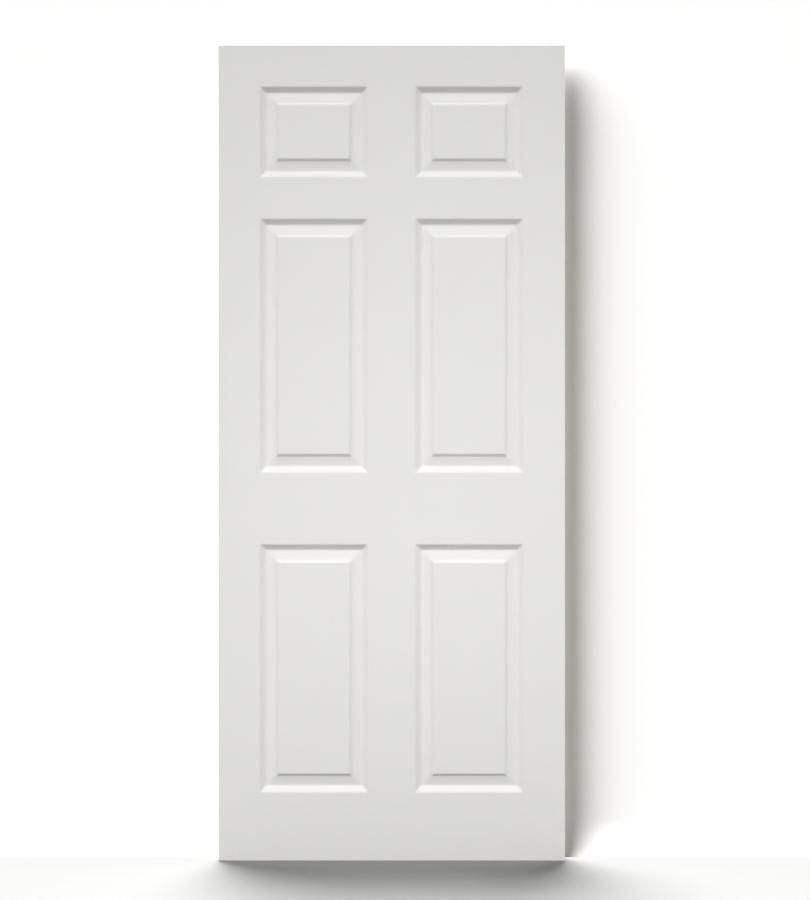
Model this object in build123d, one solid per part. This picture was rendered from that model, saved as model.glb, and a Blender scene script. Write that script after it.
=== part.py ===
"""A moulded hollow-core interior door slab: two pressed fibreboard skins, each with six raised panels, on a
softwood frame with lock blocks and a paper honeycomb core.

Every piece is laid out as on the assembly bench: the slab lies on its back with its front face up, x across
the door, y up the door from its bottom edge and z out of the front face from the middle of the thickness.
The pieces are stood up as they are written, so that the front faces -Y and the bottom edge lies on z = 0.
Lengths are in millimetres.
"""

import os

from build123d import *

# The slab: 2 ft 10 in by 6 ft 8 in, 1-3/8 in thick.
DOOR_WIDTH = 863.6
DOOR_HEIGHT = 2032.0
DOOR_THICKNESS = 34.9
SKIN_THICKNESS = 3.2
EDGE_EASE = 1.0  # radius on the long arrises of each skin

# The face: widths of the flat bands between the panels, as they look from the front.
FACE_STILE = 104.0
FACE_MULLION = 119.0
FACE_TOP_RAIL = 102.5
FACE_FRIEZE_RAIL = 104.5
FACE_LOCK_RAIL = 179.5
FACE_BOTTOM_RAIL = 171.0
TOP_PANEL_HEIGHT = 225.0
LOWER_PANEL_HEIGHT = 617.5

# The moulding around each panel, from the face inwards: sticking, groove, bevel, shoulder, raised field.
STICKING_WIDTH = 14.5
BEVEL_WIDTH = 24.5
SHOULDER_WIDTH = 7.0
GROOVE_DEPTH = 11.0
FIELD_DROP = 0.5  # the field lies this far below the face
BEVEL_RISE_SHARE = 0.5  # how much of the way from groove to field the bevel climbs
RIM_ROUND = 8.0  # visible radii, in the same order
COVE_ROUND = 9.0
FOOT_ROUND = 5.0
FIELD_ROUND = 5.0
INSIDE_ROUND = 0.8  # hidden radius where the sheet bends over the rim and the field
LAND = 3.0  # flat strip on each side of the moulding, pressed with it

# The frame inside.
STILE_WIDTH = 28.6
RAIL_HEIGHT = 28.6
LOCK_BLOCK_LENGTH = 508.0
LOCK_HEIGHT = 914.0  # middle of the lock block above the bottom edge
LOCK_BLOCK_CLEARANCE = 4.0  # between the block and the moulding

# The honeycomb: paper ribbons in waves, glued crest to trough.
RIBBON_RISE = 58.0  # height of one wave, stretched to fill the bay
RIBBON_HALF_WAVE = 90.0  # from the middle of a crest to the middle of a trough
FLAT_SHARE = 0.62  # how much of a half wave is the flat, glued part
PAPER_THICKNESS = 0.5

OVERRUN = 5.0  # how far a cutter reaches past what it cuts

# Worked out from the sizes above.
CORE_THICKNESS = DOOR_THICKNESS - 2 * SKIN_THICKNESS
PANEL_WIDTH = (DOOR_WIDTH - 2 * FACE_STILE - FACE_MULLION) / 2
RAILS_IN_ALL = FACE_TOP_RAIL + FACE_FRIEZE_RAIL + FACE_LOCK_RAIL + FACE_BOTTOM_RAIL
MIDDLE_PANEL_HEIGHT = DOOR_HEIGHT - RAILS_IN_ALL - TOP_PANEL_HEIGHT - LOWER_PANEL_HEIGHT
MOULDING_WIDTH = STICKING_WIDTH + BEVEL_WIDTH + SHOULDER_WIDTH
BAY_WIDTH = DOOR_WIDTH - 2 * STILE_WIDTH
BAY_HEIGHT = DOOR_HEIGHT - 2 * RAIL_HEIGHT
LOCK_BLOCK_WIDTH = FACE_STILE - LAND - LOCK_BLOCK_CLEARANCE - STILE_WIDTH
LOCK_BLOCK_X = DOOR_WIDTH / 2 - STILE_WIDTH - LOCK_BLOCK_WIDTH / 2


def panel_places():
    """The middle, width and height of each of the six recesses."""
    column_x = (FACE_MULLION + PANEL_WIDTH) / 2
    rows = (
        (LOWER_PANEL_HEIGHT, FACE_LOCK_RAIL),
        (MIDDLE_PANEL_HEIGHT, FACE_FRIEZE_RAIL),
        (TOP_PANEL_HEIGHT, FACE_TOP_RAIL),
    )
    places = []
    bottom = FACE_BOTTOM_RAIL
    for height, rail_above in rows:
        for x in (-column_x, column_x):
            places.append((Pos(x, bottom + height / 2), PANEL_WIDTH, height))
        bottom += height + rail_above
    return places


def far_side(corners, thickness):
    """Corner points of the far side of a bent sheet: each inner corner moves down along its mitre."""
    runs = [(end - start).normalized() for start, end in zip(corners, corners[1:])]
    normals = [Vector(run.Y, -run.X) for run in runs]
    moved = [corners[0] + normals[0] * thickness]
    for corner, before, after in zip(corners[1:], normals, normals[1:]):
        mitre = (before + after) * (1 / (1 + before.dot(after)))
        moved.append(corner + mitre * thickness)
    moved.append(corners[-1] + normals[-1] * thickness)
    return moved


def moulding_section():
    """Section through the pressed sheet: x runs from the rim into the panel, y out of the face."""
    bevel_top = GROOVE_DEPTH - BEVEL_RISE_SHARE * (GROOVE_DEPTH - FIELD_DROP)
    corners = [
        Vector(-LAND, 0),
        Vector(0, 0),
        Vector(STICKING_WIDTH, -GROOVE_DEPTH),
        Vector(STICKING_WIDTH + BEVEL_WIDTH, -bevel_top),
        Vector(MOULDING_WIDTH, -FIELD_DROP),
        Vector(MOULDING_WIDTH + LAND, -FIELD_DROP),
    ]
    hidden = far_side(corners, SKIN_THICKNESS)
    hidden_cove = COVE_ROUND + SKIN_THICKNESS
    hidden_foot = FOOT_ROUND + SKIN_THICKNESS
    outline = FilletPolyline(*corners, radius=(RIM_ROUND, COVE_ROUND, FOOT_ROUND, FIELD_ROUND))
    outline += FilletPolyline(*hidden, radius=(INSIDE_ROUND, hidden_cove, hidden_foot, INSIDE_ROUND))
    outline += Line(corners[0], hidden[0])
    outline += Line(corners[-1], hidden[-1])
    return make_face(outline)


def moulding_ring(width, height):
    """The section carried around one recess, with mitred corners. It starts half way along the bottom."""
    x = width / 2
    y = height / 2
    path = Polyline((0, -y), (x, -y), (x, y), (-x, y), (-x, -y), close=True)
    start = Plane(origin=(0, -y, 0), x_dir=(0, 1, 0), z_dir=(1, 0, 0))
    return sweep(start * moulding_section(), path, transition=Transition.RIGHT)


def widened(width, height, margin):
    """A rectangle with a margin added on every side, or taken off where the margin is negative."""
    return Rectangle(width + 2 * margin, height + 2 * margin)


def pressed_skin():
    """One face sheet, lying face up with its face on z = 0."""
    outline = Pos(0, DOOR_HEIGHT / 2) * Rectangle(DOOR_WIDTH, DOOR_HEIGHT)
    sheet = extrude(outline, -SKIN_THICKNESS)
    sheet = fillet(sheet.faces().sort_by(Axis.Z)[-1].edges(), EDGE_EASE)
    windows = []
    pressings = []
    for place, width, height in panel_places():
        windows.append(place * extrude(widened(width, height, LAND), OVERRUN, both=True))
        pressings.append(place * moulding_ring(width, height))
        field = extrude(widened(width, height, -MOULDING_WIDTH - LAND), -SKIN_THICKNESS)
        pressings.append(place * Pos(0, 0, -FIELD_DROP) * field)
    return sheet - windows + pressings


def core_pockets():
    """What the front skin's mouldings take out of the core, lying with the core's front on z = 0."""
    pockets = []
    for place, width, height in panel_places():
        recess = widened(width, height, LAND)
        field = widened(width, height, -MOULDING_WIDTH - LAND)
        pockets.append(place * Pos(0, 0, -GROOVE_DEPTH) * extrude(recess - field, GROOVE_DEPTH + OVERRUN))
        pockets.append(place * Pos(0, 0, -FIELD_DROP) * extrude(field, FIELD_DROP + OVERRUN))
    return pockets


def ribbon(half_waves, rise, starts_high):
    """One paper ribbon across the bay, standing on its edge, from the middle of a flat to the middle of one."""
    half_wave = BAY_WIDTH / half_waves
    slope = half_wave * (1 - FLAT_SHARE)
    levels = [rise if (step + starts_high) % 2 else PAPER_THICKNESS for step in range(half_waves + 1)]
    corners = [Vector(-BAY_WIDTH / 2, levels[0])]
    for step, (level, next_level) in enumerate(zip(levels, levels[1:])):
        x = -BAY_WIDTH / 2 + (step + 1 / 2) * half_wave
        corners += [Vector(x - slope / 2, level), Vector(x + slope / 2, next_level)]
    corners.append(Vector(BAY_WIDTH / 2, levels[-1]))
    outline = Polyline(*corners, *reversed(far_side(corners, PAPER_THICKNESS)), close=True)
    return extrude(make_face(outline), CORE_THICKNESS / 2, both=True)


def honeycomb_core(lock_blocks):
    """The ribbons that fill the bay, crushed under the mouldings and cut out for the lock blocks."""
    half_waves = max(1, round(BAY_WIDTH / RIBBON_HALF_WAVE))
    rows = max(1, round(BAY_HEIGHT / RIBBON_RISE))
    rise = BAY_HEIGHT / rows
    shapes = [ribbon(half_waves, rise, starts_high) for starts_high in (False, True)]
    front = Pos(0, 0, CORE_THICKNESS / 2)
    cutters = [front * pocket for pocket in core_pockets()]
    cutters += [cutter.rotate(Axis.Y, 180) for cutter in cutters]
    cutters += lock_blocks
    ribbons = []
    for row in range(rows):
        whole = Pos(0, RAIL_HEIGHT + row * rise) * shapes[row % 2]
        ribbons += (whole - cutters).solids()
    return Compound(ribbons)


def bar(width, height):
    """A frame piece as thick as the core, with its middle on the origin."""
    return Box(width, height, CORE_THICKNESS)


front_skin = Pos(0, 0, DOOR_THICKNESS / 2) * pressed_skin()
stile = Pos(DOOR_WIDTH / 2 - STILE_WIDTH / 2, DOOR_HEIGHT / 2) * bar(STILE_WIDTH, DOOR_HEIGHT)
rail = bar(BAY_WIDTH, RAIL_HEIGHT)
right_lock_block = Pos(LOCK_BLOCK_X, LOCK_HEIGHT) * bar(LOCK_BLOCK_WIDTH, LOCK_BLOCK_LENGTH)
left_lock_block = right_lock_block.rotate(Axis.Y, 180)

pieces = {
    "front_skin": front_skin,
    "rear_skin": front_skin.rotate(Axis.Y, 180),
    "left_stile": stile.rotate(Axis.Y, 180),
    "right_stile": stile,
    "top_rail": Pos(0, DOOR_HEIGHT - RAIL_HEIGHT / 2) * rail,
    "bottom_rail": Pos(0, RAIL_HEIGHT / 2) * rail,
    "left_lock_block": left_lock_block,
    "right_lock_block": right_lock_block,
    "honeycomb_core": honeycomb_core([left_lock_block, right_lock_block]),
}

os.makedirs("parts", exist_ok=True)
for name, piece in pieces.items():
    export_step(Plane.XZ * piece, f"parts/{name}.step")
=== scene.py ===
# %% [markdown]
# # A moulded interior door slab
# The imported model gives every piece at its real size, in metres, standing on z = 0 with its front towards
# -Y. The softwood frame, the lock blocks and the honeycomb keep their solids and only get a finish. The two
# pressed skins are what everybody looks at, so they are made again here as one fine, softly rounded surface
# each.

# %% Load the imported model
import math

import bpy
import numpy as np
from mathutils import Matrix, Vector


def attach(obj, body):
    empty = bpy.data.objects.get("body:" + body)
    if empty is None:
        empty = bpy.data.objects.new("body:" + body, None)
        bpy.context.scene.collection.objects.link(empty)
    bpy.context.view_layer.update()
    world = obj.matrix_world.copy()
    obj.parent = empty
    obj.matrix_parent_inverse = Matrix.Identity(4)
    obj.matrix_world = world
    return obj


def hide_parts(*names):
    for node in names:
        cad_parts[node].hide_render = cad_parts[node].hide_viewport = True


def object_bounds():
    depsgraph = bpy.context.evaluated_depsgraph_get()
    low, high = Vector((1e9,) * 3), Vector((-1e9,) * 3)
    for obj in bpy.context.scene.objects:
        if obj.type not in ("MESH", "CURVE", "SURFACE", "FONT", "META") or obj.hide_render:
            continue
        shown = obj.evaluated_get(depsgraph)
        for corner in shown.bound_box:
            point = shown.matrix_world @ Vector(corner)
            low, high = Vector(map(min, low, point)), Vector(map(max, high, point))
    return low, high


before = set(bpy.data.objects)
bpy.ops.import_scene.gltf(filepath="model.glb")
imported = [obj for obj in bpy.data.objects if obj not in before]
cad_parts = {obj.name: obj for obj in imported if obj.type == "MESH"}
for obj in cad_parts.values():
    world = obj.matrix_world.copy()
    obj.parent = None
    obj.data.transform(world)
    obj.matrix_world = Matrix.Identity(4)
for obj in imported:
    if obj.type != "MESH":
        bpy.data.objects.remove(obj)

cad_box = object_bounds()
DOOR_WIDTH, DOOR_THICKNESS, DOOR_HEIGHT = cad_box[1] - cad_box[0]
print("slab", round(DOOR_WIDTH, 4), round(DOOR_THICKNESS, 4), round(DOOR_HEIGHT, 4), sorted(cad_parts))

# %% [markdown]
# ## The moulding, as a profile
# A moulded door has no separate panels: one sheet of fibreboard is pressed in a hot die, and the die gives
# it the look of stiles, rails and raised panels. A cut across the moulding shows the same profile
# everywhere: a rounded rim, a steep sticking down to a cove, a gentle bevel up, a short shoulder and the
# flat field. It could be drawn by hand as a curve. Here it is a bent line with a radius at each bend, which
# is how a die maker states it, so every size has a name.

# %% Sizes of the moulding, from the rim into the panel
MM = 0.001
SKIN_THICKNESS = 3.2 * MM
STICKING_WIDTH = 14.5 * MM
BEVEL_WIDTH = 24.5 * MM
SHOULDER_WIDTH = 7.0 * MM
GROOVE_DEPTH = 11.0 * MM
FIELD_DROP = 0.5 * MM
BEVEL_RISE_SHARE = 0.5
LAND = 3.0 * MM
RIM_ROUND = 8.0 * MM
COVE_ROUND = 9.0 * MM
FOOT_ROUND = 5.0 * MM
FIELD_ROUND = 5.0 * MM
INSIDE_ROUND = 0.8 * MM

MOULDING_WIDTH = STICKING_WIDTH + BEVEL_WIDTH + SHOULDER_WIDTH
BEVEL_TOP = GROOVE_DEPTH - BEVEL_RISE_SHARE * (GROOVE_DEPTH - FIELD_DROP)
VISIBLE_ROUNDS = (RIM_ROUND, COVE_ROUND, FOOT_ROUND, FIELD_ROUND)
HIDDEN_ROUNDS = (INSIDE_ROUND, COVE_ROUND + SKIN_THICKNESS, FOOT_ROUND + SKIN_THICKNESS, INSIDE_ROUND)
VISIBLE_CORNERS = np.array([
    (-LAND, 0),
    (0, 0),
    (STICKING_WIDTH, GROOVE_DEPTH),
    (STICKING_WIDTH + BEVEL_WIDTH, BEVEL_TOP),
    (MOULDING_WIDTH, FIELD_DROP),
    (MOULDING_WIDTH + LAND, FIELD_DROP),
])
print("moulding, mm", round(MOULDING_WIDTH / MM, 1), "wide")

# %% A bent line with rounded bends
ARC_STEPS = 5
RUN_STEPS = 2


def far_side(corners, thickness):
    """The other side of a bent sheet: an end moves straight down, and a bend moves along its mitre, which
    is the sum of the two normals divided by one plus their dot product."""
    runs = np.diff(corners, axis=0)
    runs = runs / np.linalg.norm(runs, axis=1, keepdims=True)
    normals = np.column_stack([-runs[:, 1], runs[:, 0]])
    before = np.vstack([normals[:1], normals])
    after = np.vstack([normals, normals[-1:]])
    mitres = (before + after) / (1 + np.sum(before * after, axis=1, keepdims=True))
    return corners + mitres * thickness


def rounded_line(corners, rounds):
    """Points along a bent line. At each bend an arc is tangent to both runs, and starts before the bend by
    radius * tan(turn / 2). Its points are the arc's centre plus the radius in equal steps of heading. Each
    straight run between two arcs is cut into equal steps."""
    runs = np.diff(corners, axis=0)
    headings = np.arctan2(runs[:, 1], runs[:, 0])
    stretches = [corners[:1]]
    for bend, (radius, heading, next_heading) in enumerate(zip(rounds, headings, headings[1:]), start=1):
        turn = next_heading - heading
        back = radius * math.tan(abs(turn) / 2)
        start = corners[bend] - back * np.array([math.cos(heading), math.sin(heading)])
        side = math.copysign(radius, turn)
        centre = start + side * np.array([-math.sin(heading), math.cos(heading)])
        steps = np.linspace(heading, next_heading, ARC_STEPS + 1)
        arc = centre + side * np.column_stack([np.sin(steps), -np.cos(steps)])
        stretches += [np.linspace(stretches[-1][-1], arc[0], RUN_STEPS + 1)[1:-1], arc]
    return np.vstack(stretches + [corners[-1:]])


visible_line = rounded_line(VISIBLE_CORNERS, VISIBLE_ROUNDS)
hidden_line = rounded_line(far_side(VISIBLE_CORNERS, SKIN_THICKNESS), HIDDEN_ROUNDS)
print("profile points", len(visible_line), "deepest, mm", round(visible_line[:, 1].max() / MM, 2))

# %% [markdown]
# ## The face, as one function of two parameters
# The six recesses are two columns by three rows. How far a point lies inside its recess is the smaller of
# how far it lies inside its column and how far inside its row, and the profile turns that distance into a
# depth. Taking the smaller of two distances is what draws the mitres at the corners. A die has no
# razor-sharp mitre, so the two distances are blended where they are nearly equal. A separate ring around
# each panel would need its corners joined by hand; one formula gives all six at once.

# %% Where the recesses lie on the face
FACE_STILE = 104.0 * MM
FACE_MULLION = 119.0 * MM
FACE_TOP_RAIL = 102.5 * MM
FACE_FRIEZE_RAIL = 104.5 * MM
FACE_LOCK_RAIL = 179.5 * MM
FACE_BOTTOM_RAIL = 171.0 * MM
TOP_PANEL_HEIGHT = 225.0 * MM
LOWER_PANEL_HEIGHT = 617.5 * MM

column_outer = DOOR_WIDTH / 2 - FACE_STILE
COLUMNS = [(-column_outer, -FACE_MULLION / 2), (FACE_MULLION / 2, column_outer)]
lower_top = FACE_BOTTOM_RAIL + LOWER_PANEL_HEIGHT
top_bottom = DOOR_HEIGHT - FACE_TOP_RAIL - TOP_PANEL_HEIGHT
ROWS = [
    (FACE_BOTTOM_RAIL, lower_top),
    (lower_top + FACE_LOCK_RAIL, top_bottom - FACE_FRIEZE_RAIL),
    (top_bottom, DOOR_HEIGHT - FACE_TOP_RAIL),
]
print("panel width, mm", round((COLUMNS[0][1] - COLUMNS[0][0]) / MM, 1))

# %% The depth of the pressed sheet at any place
EDGE_EASE = 1.0 * MM
MITRE_SOFTNESS = 3.0 * MM


def inside(places, spans):
    """How far each place lies inside the nearest span: positive within it, negative outside."""
    return np.max([np.minimum(places - low, high - places) for low, high in spans], axis=0)


def soft_smaller(a, b, reach):
    """The smaller of two distances, rounded where they differ by less than reach: there it is lower by the
    square of the overlap over four times the reach."""
    overlap = np.maximum(reach - np.abs(a - b), 0)
    return np.minimum(a, b) - overlap**2 / (4 * reach)


def inset_at(x, z):
    """How far into its recess each place lies, for every x with every z."""
    return soft_smaller(inside(x, COLUMNS)[:, None], inside(z, ROWS)[None, :], MITRE_SOFTNESS)


def eased(edge_distance):
    """A quarter round along the outline: its depth at each distance from the edge, and 0 further in."""
    missing = np.clip(EDGE_EASE - edge_distance, 0, EDGE_EASE)
    return EDGE_EASE - np.sqrt(EDGE_EASE**2 - missing**2)


def face_depth(x, z):
    """Depth of the visible side below the face, for every x with every z."""
    across = inside(x, [(-DOOR_WIDTH / 2, DOOR_WIDTH / 2)])[:, None]
    upward = inside(z, [(0, DOOR_HEIGHT)])[None, :]
    return np.interp(inset_at(x, z), *visible_line.T) + eased(np.minimum(across, upward))


def back_depth(x, z):
    """Depth of the sheet's hidden side below the face."""
    return np.interp(inset_at(x, z), *hidden_line.T)


panel_middle = face_depth(np.mean(COLUMNS, axis=1), np.mean(ROWS, axis=1))
print("raised fields, mm below the face", round(panel_middle.max() / MM, 2))

# %% Grid lines that follow the moulding
EASE_SHARES = np.array([0, 0.02, 0.1, 0.25, 0.45, 0.7, 1.0, 3.0])
GRID_DIGITS = 7


def grid_lines(spans, low, high):
    """Places of the grid lines along one direction: every point of the profile from both ends of each span,
    and a few lines that round the outline's edges."""
    profile = visible_line[:, 0]
    lines = [np.concatenate([start + profile, end - profile]) for start, end in spans]
    ease = EASE_SHARES * EDGE_EASE
    return np.unique(np.round(np.concatenate(lines + [low + ease, high - ease]), GRID_DIGITS))


grid_x = grid_lines(COLUMNS, -DOOR_WIDTH / 2, DOOR_WIDTH / 2)
grid_z = grid_lines(ROWS, 0, DOOR_HEIGHT)
print("grid lines", len(grid_x), "across and", len(grid_z), "up")

# %% [markdown]
# ## From the function to a closed skin
# The sheet has a visible side, a hidden side and a thin edge all round. Both sides use the same grid, so
# the edge simply joins their borders. Each grid cell is cut along the diagonal that lies nearer to the true
# surface, which keeps the mitres clean. The same skin, turned half round about the door's upright axis, is
# the rear face, as on the real door, where both faces come from one die.


# %% Faces of the skin
def cell_triangles(index, along_first):
    """Two triangles for each grid cell, cut from its first corner to the opposite one, or along the other
    diagonal."""
    a, b = index[:-1, :-1], index[1:, :-1]
    c, d = index[1:, 1:], index[:-1, 1:]
    first = np.where(along_first[..., None], np.stack([a, b, c], -1), np.stack([a, b, d], -1))
    second = np.where(along_first[..., None], np.stack([a, c, d], -1), np.stack([b, c, d], -1))
    return np.concatenate([first.reshape(-1, 3), second.reshape(-1, 3)])


def first_diagonal_nearer(depth, middle_depth):
    """For each cell, whether the first diagonal's middle is nearer to the surface than the other's."""
    first = np.abs((depth[:-1, :-1] + depth[1:, 1:]) / 2 - middle_depth)
    other = np.abs((depth[1:, :-1] + depth[:-1, 1:]) / 2 - middle_depth)
    return first <= other


def border_loop(index):
    """The border of the grid, once round, as seen from the front: along the bottom, up, back along the top
    and down."""
    return np.concatenate([index[:-1, 0], index[-1, :-1], index[:0:-1, -1], index[0, :0:-1]])


def skin_mesh_data():
    """Vertices, triangles and edge quads of the front skin, and how many triangles show."""
    middle_x = (grid_x[1:] + grid_x[:-1]) / 2
    middle_z = (grid_z[1:] + grid_z[:-1]) / 2
    x, z = np.meshgrid(grid_x, grid_z, indexing="ij")
    sides = []
    triangles = []
    index = np.arange(x.size).reshape(x.shape)
    for depth_at in (face_depth, back_depth):
        depth = depth_at(grid_x, grid_z)
        sides.append(np.stack([x, depth - DOOR_THICKNESS / 2, z], -1).reshape(-1, 3))
        along_first = first_diagonal_nearer(depth, depth_at(middle_x, middle_z))
        triangles.append(cell_triangles(index, along_first))
    triangles[1] = triangles[1][:, ::-1] + x.size
    front = border_loop(index)
    back = front + x.size
    edge = np.stack([front, back, np.roll(back, -1), np.roll(front, -1)], -1)
    return np.concatenate(sides), np.concatenate(triangles), edge, len(triangles[0])


skin_points, skin_triangles, skin_edge, shown_triangles = skin_mesh_data()
print("skin triangles", len(skin_triangles) + 2 * len(skin_edge))

# %% The two skins as objects
SHARP_ANGLE = math.radians(40)
HALF_TURN = np.array([-1.0, -1.0, 1.0])
PRIMED, RAW = 0, 1


def put_in_scene(thing):
    """Links an object to the scene and gives it back."""
    bpy.context.scene.collection.objects.link(thing)
    return thing


def skin_object(name, points, replaced):
    """A mesh object for one skin, smooth apart from its square edges, with its unseen faces in a second
    material slot."""
    mesh = bpy.data.meshes.new(name)
    mesh.from_pydata(points.tolist(), [], skin_triangles.tolist() + skin_edge.tolist())
    slots = np.full(len(mesh.polygons), RAW, dtype=np.int32)
    slots[:shown_triangles] = PRIMED
    mesh.polygons.foreach_set("material_index", slots)
    mesh.polygons.foreach_set("use_smooth", np.ones(len(mesh.polygons), dtype=bool))
    mesh.set_sharp_from_angle(angle=SHARP_ANGLE)
    mesh.update()
    skin = put_in_scene(bpy.data.objects.new(name, mesh))
    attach(skin, "root")
    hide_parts(replaced)
    return skin


skins = [
    skin_object("front_pressed_skin", skin_points, "front_skin"),
    skin_object("rear_pressed_skin", skin_points * HALF_TURN, "rear_skin"),
]
print("skins", [skin.name for skin in skins])

# %% [markdown]
# ## Materials
# Every finish is made of nodes on Object coordinates, which on this part are metres in the door's own
# frame, so a pattern has its real size and stays put in every view. A small helper adds a node, sets its
# options and either links or sets its inputs, which keeps each finish short.

# %% A helper for node materials
MIX_SHARE, MIX_FIRST, MIX_SECOND, MIX_RESULT = 0, 6, 7, 2


def add(tree, kind, inputs=None, **options):
    """Adds a node. An input that is a socket is linked, and any other is set as the socket's own value."""
    node = tree.nodes.new("ShaderNode" + kind)
    for option, value in options.items():
        setattr(node, option, value)
    for name, value in (inputs or {}).items():
        if isinstance(value, bpy.types.NodeSocket):
            tree.links.new(value, node.inputs[name])
        else:
            node.inputs[name].default_value = value
    return node


def math_node(tree, operation, first, second=0.0):
    """The result of one sum on numbers or sockets."""
    return add(tree, "Math", {0: first, 1: second}, operation=operation).outputs[0]


def blend_colours(tree, share, first, second):
    """A colour that goes from the first to the second as share goes from 0 to 1. The Mix node has sockets
    for several kinds of value, and those for colours are found by their number."""
    inputs = {MIX_SHARE: share, MIX_FIRST: first, MIX_SECOND: second}
    return add(tree, "Mix", inputs, data_type="RGBA").outputs[MIX_RESULT]


def new_finish(name):
    """A material with a Principled shader: the material, its nodes, the shader and Object coordinates."""
    material = bpy.data.materials.new(name)
    material.use_nodes = True
    tree = material.node_tree
    shader = tree.nodes["Principled BSDF"]
    coordinates = add(tree, "TexCoord").outputs["Object"]
    return material, tree, shader, coordinates


# %% [markdown]
# ### White primer
# The face is sprayed with a white primer of low sheen in the factory. From a step away it is an even,
# slightly warm white. Close up it has the fine orange peel of sprayed paint and a very slight cloudiness
# where the fibres took up more of it. Three noises of different size do that: one for the peel, one for the
# clouds, which also move the sheen, and one for the fibres.

# %% White primer
PRIMER_WHITE = (0.815, 0.81, 0.79, 1.0)
PRIMER_THIN = (0.785, 0.778, 0.752, 1.0)
PRIMER_ROUGHNESS = (0.64, 0.76)
PEEL_PER_METRE = 620.0
PEEL_HEIGHT = 0.03 * MM
CLOUDS_PER_METRE = 9.0
CLOUD_DETAIL = 4.0
FIBRES_PER_METRE = 260.0
FIBRE_DETAIL = 3.0


def white_primer():
    """White primer of low sheen on a pressed face."""
    material, tree, shader, place = new_finish("white_primer")
    cloudy = {"Vector": place, "Scale": CLOUDS_PER_METRE, "Detail": CLOUD_DETAIL}
    fibrous = {"Vector": place, "Scale": FIBRES_PER_METRE, "Detail": FIBRE_DETAIL}
    clouds = add(tree, "TexNoise", cloudy).outputs[0]
    fibres = add(tree, "TexNoise", fibrous).outputs[0]
    colour = blend_colours(tree, math_node(tree, "MULTIPLY", clouds, fibres), PRIMER_WHITE, PRIMER_THIN)
    tree.links.new(colour, shader.inputs["Base Color"])
    smooth, rough = PRIMER_ROUGHNESS
    roughness = add(tree, "MapRange", {"Value": clouds, "To Min": smooth, "To Max": rough}).outputs[0]
    tree.links.new(roughness, shader.inputs["Roughness"])
    peel = add(tree, "TexNoise", {"Vector": place, "Scale": PEEL_PER_METRE}).outputs[0]
    bump = add(tree, "Bump", {"Height": peel, "Distance": PEEL_HEIGHT}).outputs[0]
    tree.links.new(bump, shader.inputs["Normal"])
    return material


primer = white_primer()
print(primer.name, len(primer.node_tree.nodes), "nodes")

# %% [markdown]
# ### Raw board
# The skin's edges are trimmed after pressing, so they show bare brown fibre, fine and speckled, with specks
# that lie along the sheet. The hidden side of the sheet is bare too. The lock blocks are a paler board of
# the same kind, so one function makes both.

# %% Raw board
FIBRE_BROWN = (0.24, 0.145, 0.08, 1.0)
FIBRE_PALE = (0.42, 0.28, 0.165, 1.0)
BLOCK_BROWN = (0.4, 0.275, 0.16, 1.0)
BLOCK_PALE = (0.56, 0.42, 0.27, 1.0)
SPECKS_PER_METRE = 1500.0
LAYERS_STRETCH = (0.06, 1.0, 0.06)
LAYER_DETAIL = 3.0
BOARD_ROUGHNESS = 0.85
FIBRE_HEIGHT = 0.06 * MM


def raw_board(name, pale, brown):
    """Bare board: the mean of fine specks and of specks stretched along the sheet."""
    material, tree, shader, place = new_finish(name)
    stretched = add(tree, "Mapping", {"Vector": place, "Scale": LAYERS_STRETCH}).outputs[0]
    layered = {"Vector": stretched, "Scale": SPECKS_PER_METRE, "Detail": LAYER_DETAIL}
    layers = add(tree, "TexNoise", layered).outputs[0]
    specks = add(tree, "TexNoise", {"Vector": place, "Scale": SPECKS_PER_METRE}).outputs[0]
    mean = math_node(tree, "MULTIPLY", math_node(tree, "ADD", layers, specks), 1 / 2)
    tree.links.new(blend_colours(tree, mean, brown, pale), shader.inputs["Base Color"])
    shader.inputs["Roughness"].default_value = BOARD_ROUGHNESS
    bump = add(tree, "Bump", {"Height": specks, "Distance": FIBRE_HEIGHT}).outputs[0]
    tree.links.new(bump, shader.inputs["Normal"])
    return material


fibreboard = raw_board("raw_fibreboard", FIBRE_PALE, FIBRE_BROWN)
block_board = raw_board("lock_block_board", BLOCK_PALE, BLOCK_BROWN)
print([(board.name, len(board.node_tree.nodes)) for board in (fibreboard, block_board)])

# %% [markdown]
# ### Finger-jointed softwood
# Door stiles are glued up from short clear lengths of pine, joined end to end with fingers that show as a
# zigzag on the edge. Each length comes from another board, so its tone and its rings differ. A
# one-dimensional Voronoi along the piece cuts it into lengths, a zigzag added to the place along the piece
# draws the fingers, and the cell's own colour gives each length three chances of its own.

# %% Lengths and finger joints
LENGTHS_PER_METRE = 2.6
FINGERS_PER_METRE = 240.0
FINGER_LENGTH = 9.0 * MM


def glued_lengths(tree, length, through):
    """Cuts a piece into glued lengths: three chances for each of them, and how near the next joint is."""
    zigzag = math_node(tree, "PINGPONG", math_node(tree, "MULTIPLY", through, FINGERS_PER_METRE), 1.0)
    shifted = math_node(tree, "ADD", length, math_node(tree, "MULTIPLY", zigzag, FINGER_LENGTH))
    lengths = {"W": shifted, "Scale": LENGTHS_PER_METRE}
    board = add(tree, "TexVoronoi", lengths, voronoi_dimensions="1D").outputs["Color"]
    joint = add(tree, "TexVoronoi", lengths, voronoi_dimensions="1D", feature="DISTANCE_TO_EDGE").outputs[0]
    return add(tree, "SeparateColor", {"Color": board}).outputs, joint


# %% [markdown]
# Rings are counted outwards from the heart of the tree, which lies elsewhere for each length and wanders a
# little along it, so the long faces show stripes and the ends show arcs, as sawn wood does. The heart never
# lies straight behind the edge, because there the rings would open into broad flames. A slow ripple bends
# the rings, and a noise along the radius makes some years wider than others.

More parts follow.
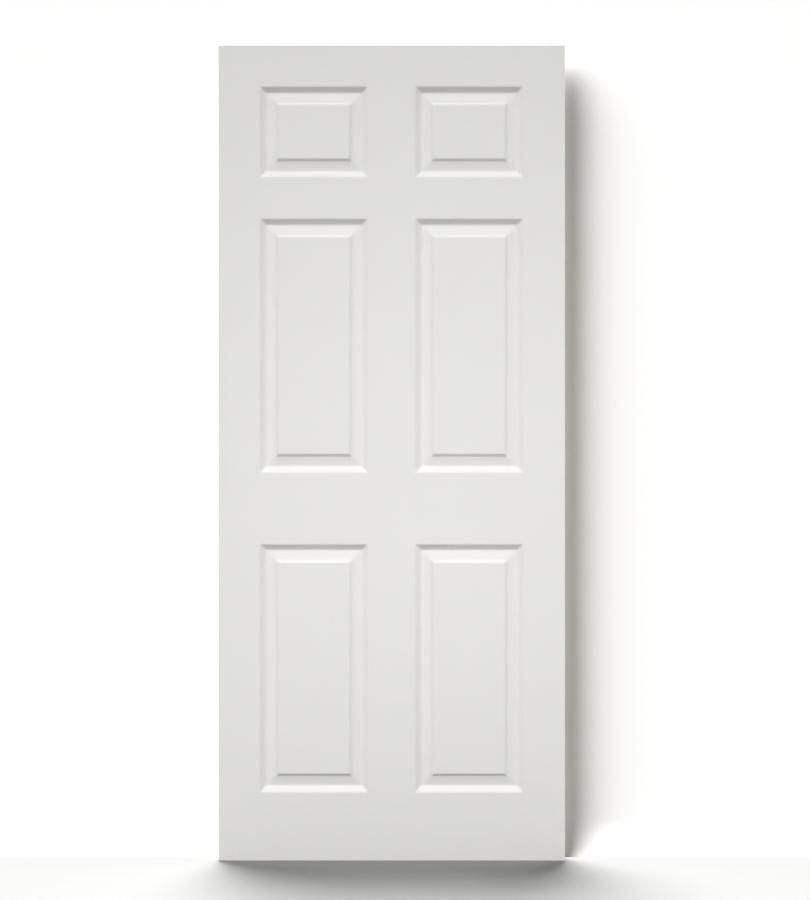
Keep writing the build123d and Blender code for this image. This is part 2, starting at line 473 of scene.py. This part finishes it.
# %% Growth rings
HEART_NEAREST = 22.0 * MM
HEART_REACH = 160.0 * MM
WANDERS_PER_METRE = 1.5
WANDER_REACH = 30.0 * MM
RIPPLES_PER_METRE = 9.0
RIPPLE_REACH = 4.0 * MM
RINGS_PER_METRE = 330.0
RING_SHARPNESS = 2.5
RING_CHANGES_PER_METRE = 70.0
RING_CHANGE = 9.0 * MM


def line_noise(tree, place, per_metre):
    """A smooth noise along one number."""
    return add(tree, "TexNoise", {"W": place, "Scale": per_metre}, noise_dimensions="1D").outputs[0]


def heart_distance(tree, length, inwards, through, chance):
    """Distance of each point from the heart of the tree that its length was sawn from."""
    wander = math_node(tree, "MULTIPLY", line_noise(tree, length, WANDERS_PER_METRE), WANDER_REACH)
    aside = math_node(tree, "MULTIPLY", math_node(tree, "SUBTRACT", chance[0], 1 / 2), HEART_REACH)
    side = math_node(tree, "SUBTRACT", chance[1], 1 / 2)
    beyond = math_node(tree, "MULTIPLY", math_node(tree, "SIGN", side), HEART_NEAREST)
    deep = math_node(tree, "ADD", math_node(tree, "MULTIPLY", side, HEART_REACH), beyond)
    from_heart = add(tree, "CombineXYZ", {
        "X": math_node(tree, "ADD", inwards, math_node(tree, "ADD", aside, wander)),
        "Y": math_node(tree, "ADD", through, deep),
    }).outputs[0]
    return add(tree, "VectorMath", {0: from_heart}, operation="LENGTH").outputs["Value"]


def late_growth(tree, place, radius):
    """How far each point lies into the dark end of its ring, from 0 to 1."""
    ripple = add(tree, "TexNoise", {"Vector": place, "Scale": RIPPLES_PER_METRE}).outputs[0]
    radius = math_node(tree, "ADD", radius, math_node(tree, "MULTIPLY", ripple, RIPPLE_REACH))
    uneven = math_node(tree, "MULTIPLY", line_noise(tree, radius, RING_CHANGES_PER_METRE), RING_CHANGE)
    grown = math_node(tree, "ADD", radius, uneven)
    ring = math_node(tree, "FRACT", math_node(tree, "MULTIPLY", grown, RINGS_PER_METRE))
    return math_node(tree, "POWER", ring, RING_SHARPNESS)


# %% Softwood
EARLY_WOOD = (0.76, 0.57, 0.345, 1.0)
LATE_WOOD = (0.5, 0.3, 0.14, 1.0)
GLUE_LINE = (0.36, 0.23, 0.12, 1.0)
GLUE_WIDTH = 0.5 * MM
PORES_PER_METRE = 900.0
PORES_ALONG_PER_METRE = 22.0
LATE_WOOD_SHARE = 0.35
TONE_RANGE = (0.86, 1.12)
WOOD_ROUGHNESS = 0.7
WOOD_HEIGHT = 0.04 * MM


def softwood(name, along):
    """Finger-jointed pine along the Z or the X axis. Its width is measured inwards from the slab's outline,
    so that both stiles, or both rails, start their rings at their own outer edge."""
    material, tree, shader, place = new_finish(name)
    parts = add(tree, "SeparateXYZ", {"Vector": place}).outputs
    length, width, through = parts["Z"], parts["X"], parts["Y"]
    middle, size = 0.0, DOOR_WIDTH
    if along == "X":
        length, width = width, length
        middle, size = DOOR_HEIGHT / 2, DOOR_HEIGHT
    from_middle = math_node(tree, "ABSOLUTE", math_node(tree, "SUBTRACT", width, middle))
    inwards = math_node(tree, "SUBTRACT", size / 2, from_middle)

    chance, joint = glued_lengths(tree, length, through)
    late = late_growth(tree, place, heart_distance(tree, length, inwards, through, chance))
    pore_place = add(tree, "CombineXYZ", {
        "X": math_node(tree, "MULTIPLY", width, PORES_PER_METRE),
        "Y": math_node(tree, "MULTIPLY", through, PORES_PER_METRE),
        "Z": math_node(tree, "MULTIPLY", length, PORES_ALONG_PER_METRE),
    }).outputs[0]
    pores = add(tree, "TexNoise", {"Vector": pore_place, "Scale": 1.0}).outputs[0]
    darkening = math_node(tree, "MULTIPLY", late, math_node(tree, "ADD", pores, LATE_WOOD_SHARE))
    wood = blend_colours(tree, darkening, EARLY_WOOD, LATE_WOOD)

    dull, bright = TONE_RANGE
    tone = add(tree, "MapRange", {"Value": chance[2], "To Min": dull, "To Max": bright}).outputs[0]
    toned = add(tree, "HueSaturation", {"Color": wood, "Value": tone}).outputs[0]
    glued = math_node(tree, "LESS_THAN", joint, GLUE_WIDTH * LENGTHS_PER_METRE)
    tree.links.new(blend_colours(tree, glued, toned, GLUE_LINE), shader.inputs["Base Color"])
    shader.inputs["Roughness"].default_value = WOOD_ROUGHNESS
    bump = add(tree, "Bump", {"Height": pores, "Distance": WOOD_HEIGHT}).outputs[0]
    tree.links.new(bump, shader.inputs["Normal"])
    return material


upright_wood = softwood("softwood_upright", "Z")
level_wood = softwood("softwood_level", "X")
print([(wood.name, len(wood.node_tree.nodes)) for wood in (upright_wood, level_wood)])

# %% [markdown]
# ### Kraft paper
# The honeycomb is brown recycled paper: flecked, matt and a little uneven. It is sealed inside, but it
# keeps a true finish for anyone who opens the model.

# %% Kraft paper
KRAFT_BROWN = (0.4, 0.27, 0.155, 1.0)
KRAFT_FLECK = (0.52, 0.38, 0.24, 1.0)
FLECKS_PER_METRE = 420.0
FLECK_DETAIL = 5.0
KRAFT_ROUGHNESS = 0.9
KRAFT_BUMP_SHARE = 0.6


def kraft_paper():
    """Brown recycled paper with flecks."""
    material, tree, shader, place = new_finish("kraft_paper")
    flecked = {"Vector": place, "Scale": FLECKS_PER_METRE, "Detail": FLECK_DETAIL}
    flecks = add(tree, "TexNoise", flecked).outputs[0]
    tree.links.new(blend_colours(tree, flecks, KRAFT_BROWN, KRAFT_FLECK), shader.inputs["Base Color"])
    shader.inputs["Roughness"].default_value = KRAFT_ROUGHNESS
    uneven = {"Height": flecks, "Strength": KRAFT_BUMP_SHARE, "Distance": FIBRE_HEIGHT}
    tree.links.new(add(tree, "Bump", uneven).outputs[0], shader.inputs["Normal"])
    return material


kraft = kraft_paper()
print(kraft.name, len(kraft.node_tree.nodes), "nodes")

# %% Put the finishes on
for skin in skins:
    skin.data.materials.append(primer)
    skin.data.materials.append(fibreboard)

node_finishes = {
    "left_stile": upright_wood,
    "right_stile": upright_wood,
    "top_rail": level_wood,
    "bottom_rail": level_wood,
    "left_lock_block": block_board,
    "right_lock_block": block_board,
    "honeycomb_core": kraft,
}
for name, finish in node_finishes.items():
    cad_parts[name].material_slots[0].material = finish
print("finishes on", len(node_finishes), "nodes and", len(skins), "skins")

# %% [markdown]
# ## The stage
# The door stands on a pale floor in front of a white backdrop, and both take its soft shadow. The foot of
# the backdrop curves forward to the door's rear, as in a photo studio, so that the shadow runs down to the
# door's own foot. The backdrop has a little glow for the camera, and takes no part in lighting the door.
# Seen from behind it is clear, so the rear face can be looked at as well, and the curve starts at a slope,
# so that a low camera behind the door doesn't see its front. The floor gives back less light than it shows,
# which keeps the undersides of the mouldings dark.

# %% Finishes of the stage
FLOOR_WHITE = (0.7, 0.7, 0.695, 1.0)
FLOOR_BOUNCE = (0.14, 0.14, 0.139, 1.0)
BACKDROP_WHITE = (0.97, 0.97, 0.965, 1.0)
BACKDROP_GLOW = 0.05


def seen_rays(tree, path):
    """1 for rays from the camera, in reflections and through glass, and 0 for the rest."""
    seen = math_node(tree, "MAXIMUM", path["Is Camera Ray"], path["Is Glossy Ray"])
    return math_node(tree, "MAXIMUM", seen, path["Is Transmission Ray"])


def stage_finish(name):
    """A material without a shader yet: the material, its node tree and the light path."""
    material = bpy.data.materials.new(name)
    material.use_nodes = True
    tree = material.node_tree
    tree.nodes.remove(tree.nodes["Principled BSDF"])
    return material, tree, add(tree, "LightPath").outputs


def floor_white():
    """Matt white, with a darker shade for the light that it gives back."""
    material, tree, path = stage_finish("floor_white")
    shade = blend_colours(tree, path["Is Diffuse Ray"], FLOOR_WHITE, FLOOR_BOUNCE)
    matt = add(tree, "BsdfDiffuse", {"Color": shade}).outputs[0]
    tree.links.new(matt, tree.nodes["Material Output"].inputs["Surface"])
    return material


def backdrop_white():
    """Matt white that glows a little where it is seen, and is clear from behind."""
    material, tree, path = stage_finish("backdrop_white")
    level = math_node(tree, "MULTIPLY", seen_rays(tree, path), BACKDROP_GLOW)
    glow = add(tree, "Emission", {"Strength": level}).outputs[0]
    matt = add(tree, "BsdfDiffuse", {"Color": BACKDROP_WHITE}).outputs[0]
    front = add(tree, "AddShader", {0: matt, 1: glow}).outputs[0]
    behind = add(tree, "NewGeometry").outputs["Backfacing"]
    clear = add(tree, "BsdfTransparent").outputs[0]
    surface = add(tree, "MixShader", {0: behind, 1: front, 2: clear}).outputs[0]
    tree.links.new(surface, tree.nodes["Material Output"].inputs["Surface"])
    return material


# %% Floor and backdrop
STAGE_SIZE = 30.0
CURVE_RADIUS = 0.1
CURVE_START = math.radians(30)
CURVE_STEPS = 12


def stage_sheet(name, line, material):
    """A sheet of the stage: a line of y and z places, carried along X from end to end of the stage."""
    ends = np.array([-STAGE_SIZE / 2, STAGE_SIZE / 2])
    points = np.column_stack([np.tile(ends, len(line)), np.repeat(line, 2, axis=0)])
    first = 2 * np.arange(len(line) - 1)
    faces = np.column_stack([first, first + 1, first + 3, first + 2])
    mesh = bpy.data.meshes.new(name)
    mesh.from_pydata(points.tolist(), [], faces.tolist())
    mesh.polygons.foreach_set("use_smooth", np.ones(len(mesh.polygons), dtype=bool))
    mesh.materials.append(material)
    sheet = put_in_scene(bpy.data.objects.new(name, mesh))
    return sheet


slopes = np.linspace(CURVE_START, math.pi / 2, CURVE_STEPS + 1)
curve = CURVE_RADIUS * np.column_stack([np.sin(slopes), -np.cos(slopes)])
curve = curve - curve[0] + (DOOR_THICKNESS / 2, 0)
backdrop_line = np.vstack([curve, curve[-1] + (0, CURVE_RADIUS), (curve[-1, 0], STAGE_SIZE / 2)])
floor_line = np.array([(-STAGE_SIZE / 2, 0), (STAGE_SIZE / 2, 0)])
floor = stage_sheet("floor", floor_line, floor_white())
backdrop = stage_sheet("backdrop", backdrop_line, backdrop_white())
backdrop.visible_diffuse = False
backdrop.visible_glossy = False
backdrop.visible_transmission = False
backdrop.visible_shadow = False
print("backdrop at y =", round(curve[-1, 0], 4))

# %% [markdown]
# ## Light
# The shading of the mouldings says where the light comes from. Undersides are dark and upper sides bright,
# at the top of the door as much as at its foot, so the key light is high and far away: a sun lamp with a
# wide disc, a little to the left. Walls that face left or right are hardly darker than the face, so a low
# sun from each side lights them too. Two more suns stand just behind the plane of the face, where they
# reach the edges but not the front. A fill beside the camera has a narrow beam, which makes the middle of
# the door a touch brighter than its ends, and the rear face has a sun and a fill of its own. The floor and
# the backdrop each have a sun that lights nothing else. These two draw the soft shadow, in front and to the
# right, while the door's own light stays plain.

# %% The lamps, as tables
DOOR_SUNS = {
    "key_sun": {"elevation": 46.0, "azimuth": -14.0, "disc": 12.0, "strength": 1.74},
    "left_sun": {"elevation": 15.0, "azimuth": -58.0, "disc": 20.0, "strength": 0.72},
    "right_sun": {"elevation": 15.0, "azimuth": 58.0, "disc": 20.0, "strength": 0.72},
    "left_edge_sun": {"elevation": 10.0, "azimuth": -100.0, "disc": 15.0, "strength": 1.5},
    "right_edge_sun": {"elevation": 10.0, "azimuth": 100.0, "disc": 15.0, "strength": 1.5},
    "rear_sun": {"elevation": 45.0, "azimuth": 160.0, "disc": 12.0, "strength": 1.6},
}
DOOR_FILLS = {
    "front_fill": {"place": (0.9, -4.2, 2.0), "power": 3.25},
    "rear_fill": {"place": (-0.9, 4.2, 2.0), "power": 4.0},
}
STAGE_SUNS = {
    "floor_sun": {"elevation": 78.5, "azimuth": -165.0, "disc": 18.0, "strength": 4.15},
    "backdrop_sun": {"elevation": 40.0, "azimuth": -46.0, "disc": 44.0, "strength": 5.15},
}
FILL_AIM = (0.0, 0.0, 0.8)
FILL_SIDE = 0.8
FILL_BEAM = 46.0
print("suns", len(DOOR_SUNS) + len(STAGE_SUNS), "and fills", len(DOOR_FILLS))


# %% How a lamp is made
def lamp_object(data, towards):
    """A lamp in the scene, turned so that it shines along a direction."""
    lamp = put_in_scene(bpy.data.objects.new(data.name, data))
    lamp.rotation_euler = Vector(towards).to_track_quat("-Z", "Y").to_euler()
    return lamp


def soft_sun(name, elevation, azimuth, disc, strength):
    """A far, large light. Azimuth 0 is in front of the door and negative is to the left, in degrees."""
    data = bpy.data.lights.new(name, "SUN")
    data.angle = math.radians(disc)
    data.energy = strength
    up, round_door = math.radians(elevation), math.radians(azimuth)
    level = math.cos(up)
    return lamp_object(data, (-math.sin(round_door) * level, math.cos(round_door) * level, -math.sin(up)))


def soft_box(name, place, power):
    """A square soft box with a narrowed beam, aimed at the middle of the door."""
    data = bpy.data.lights.new(name, "AREA")
    data.size = FILL_SIDE
    data.spread = math.radians(FILL_BEAM)
    data.energy = power
    lamp = lamp_object(data, Vector(FILL_AIM) - Vector(place))
    lamp.location = place
    return lamp


# %% The lamps and what they light
def link_light(lamp, targets, state):
    """Makes a lamp light the targets alone (INCLUDE) or everything else (EXCLUDE)."""
    receivers = bpy.data.collections.new(lamp.name + "_receivers")
    for target in targets:
        receivers.objects.link(target)
    for entry in receivers.collection_objects:
        entry.light_linking.link_state = state
    lamp.light_linking.receiver_collection = receivers


door_lamps = [soft_sun(name, **values) for name, values in DOOR_SUNS.items()]
door_lamps += [soft_box(name, **values) for name, values in DOOR_FILLS.items()]
for lamp in door_lamps:
    link_light(lamp, [floor, backdrop], "EXCLUDE")
stage_lamps = [soft_sun(name, **values) for name, values in STAGE_SUNS.items()]
for lamp, target in zip(stage_lamps, [floor, backdrop]):
    link_light(lamp, [target], "INCLUDE")
print("lamps", [lamp.name for lamp in door_lamps + stage_lamps])

# %% The world
WORLD_LEVEL = 0.05
WORLD_WHITE = (1.0, 1.0, 1.0, 1.0)


def white_world():
    """A world that lights everything evenly and faintly, and that is white where it is seen."""
    world = bpy.data.worlds.new("studio")
    world.use_nodes = True
    tree = world.node_tree
    seen = seen_rays(tree, add(tree, "LightPath").outputs)
    strength = add(tree, "MapRange", {"Value": seen, "To Min": WORLD_LEVEL, "To Max": 1.0}).outputs[0]
    background = tree.nodes["Background"]
    background.inputs["Color"].default_value = WORLD_WHITE
    tree.links.new(strength, background.inputs["Strength"])
    return world


bpy.context.scene.world = white_world()
print("world level", WORLD_LEVEL)

# %% [markdown]
# ## Camera
# The photograph looks straight at the door from about four metres, at half its height. Its frame shows 900
# pixels from top to bottom, of which the door takes 815, and the door stands a little left of the middle.

# %% Camera
PHOTO_WIDTH, PHOTO_HEIGHT = 810, 900
DOOR_LEFT, DOOR_RIGHT, DOOR_TOP, DOOR_BOTTOM = 217.1, 566.2, 45.4, 860.8
CAMERA_DISTANCE = 4.0

metres_per_pixel = DOOR_HEIGHT / (DOOR_BOTTOM - DOOR_TOP)
camera_x = (PHOTO_WIDTH - DOOR_LEFT - DOOR_RIGHT) / 2 * metres_per_pixel
camera_z = DOOR_HEIGHT / 2 + (DOOR_TOP + DOOR_BOTTOM - PHOTO_HEIGHT) / 2 * metres_per_pixel
view_height = PHOTO_HEIGHT * metres_per_pixel

camera_data = bpy.data.cameras.new("camera")
camera_data.lens = camera_data.sensor_width * CAMERA_DISTANCE / view_height
camera = put_in_scene(bpy.data.objects.new("camera", camera_data))
camera.location = (camera_x, -DOOR_THICKNESS / 2 - CAMERA_DISTANCE, camera_z)
camera.rotation_euler = (math.pi / 2, 0, 0)
bpy.context.scene.camera = camera
bpy.context.scene.view_settings.view_transform = "Standard"
print("camera", [round(v, 3) for v in camera.location])
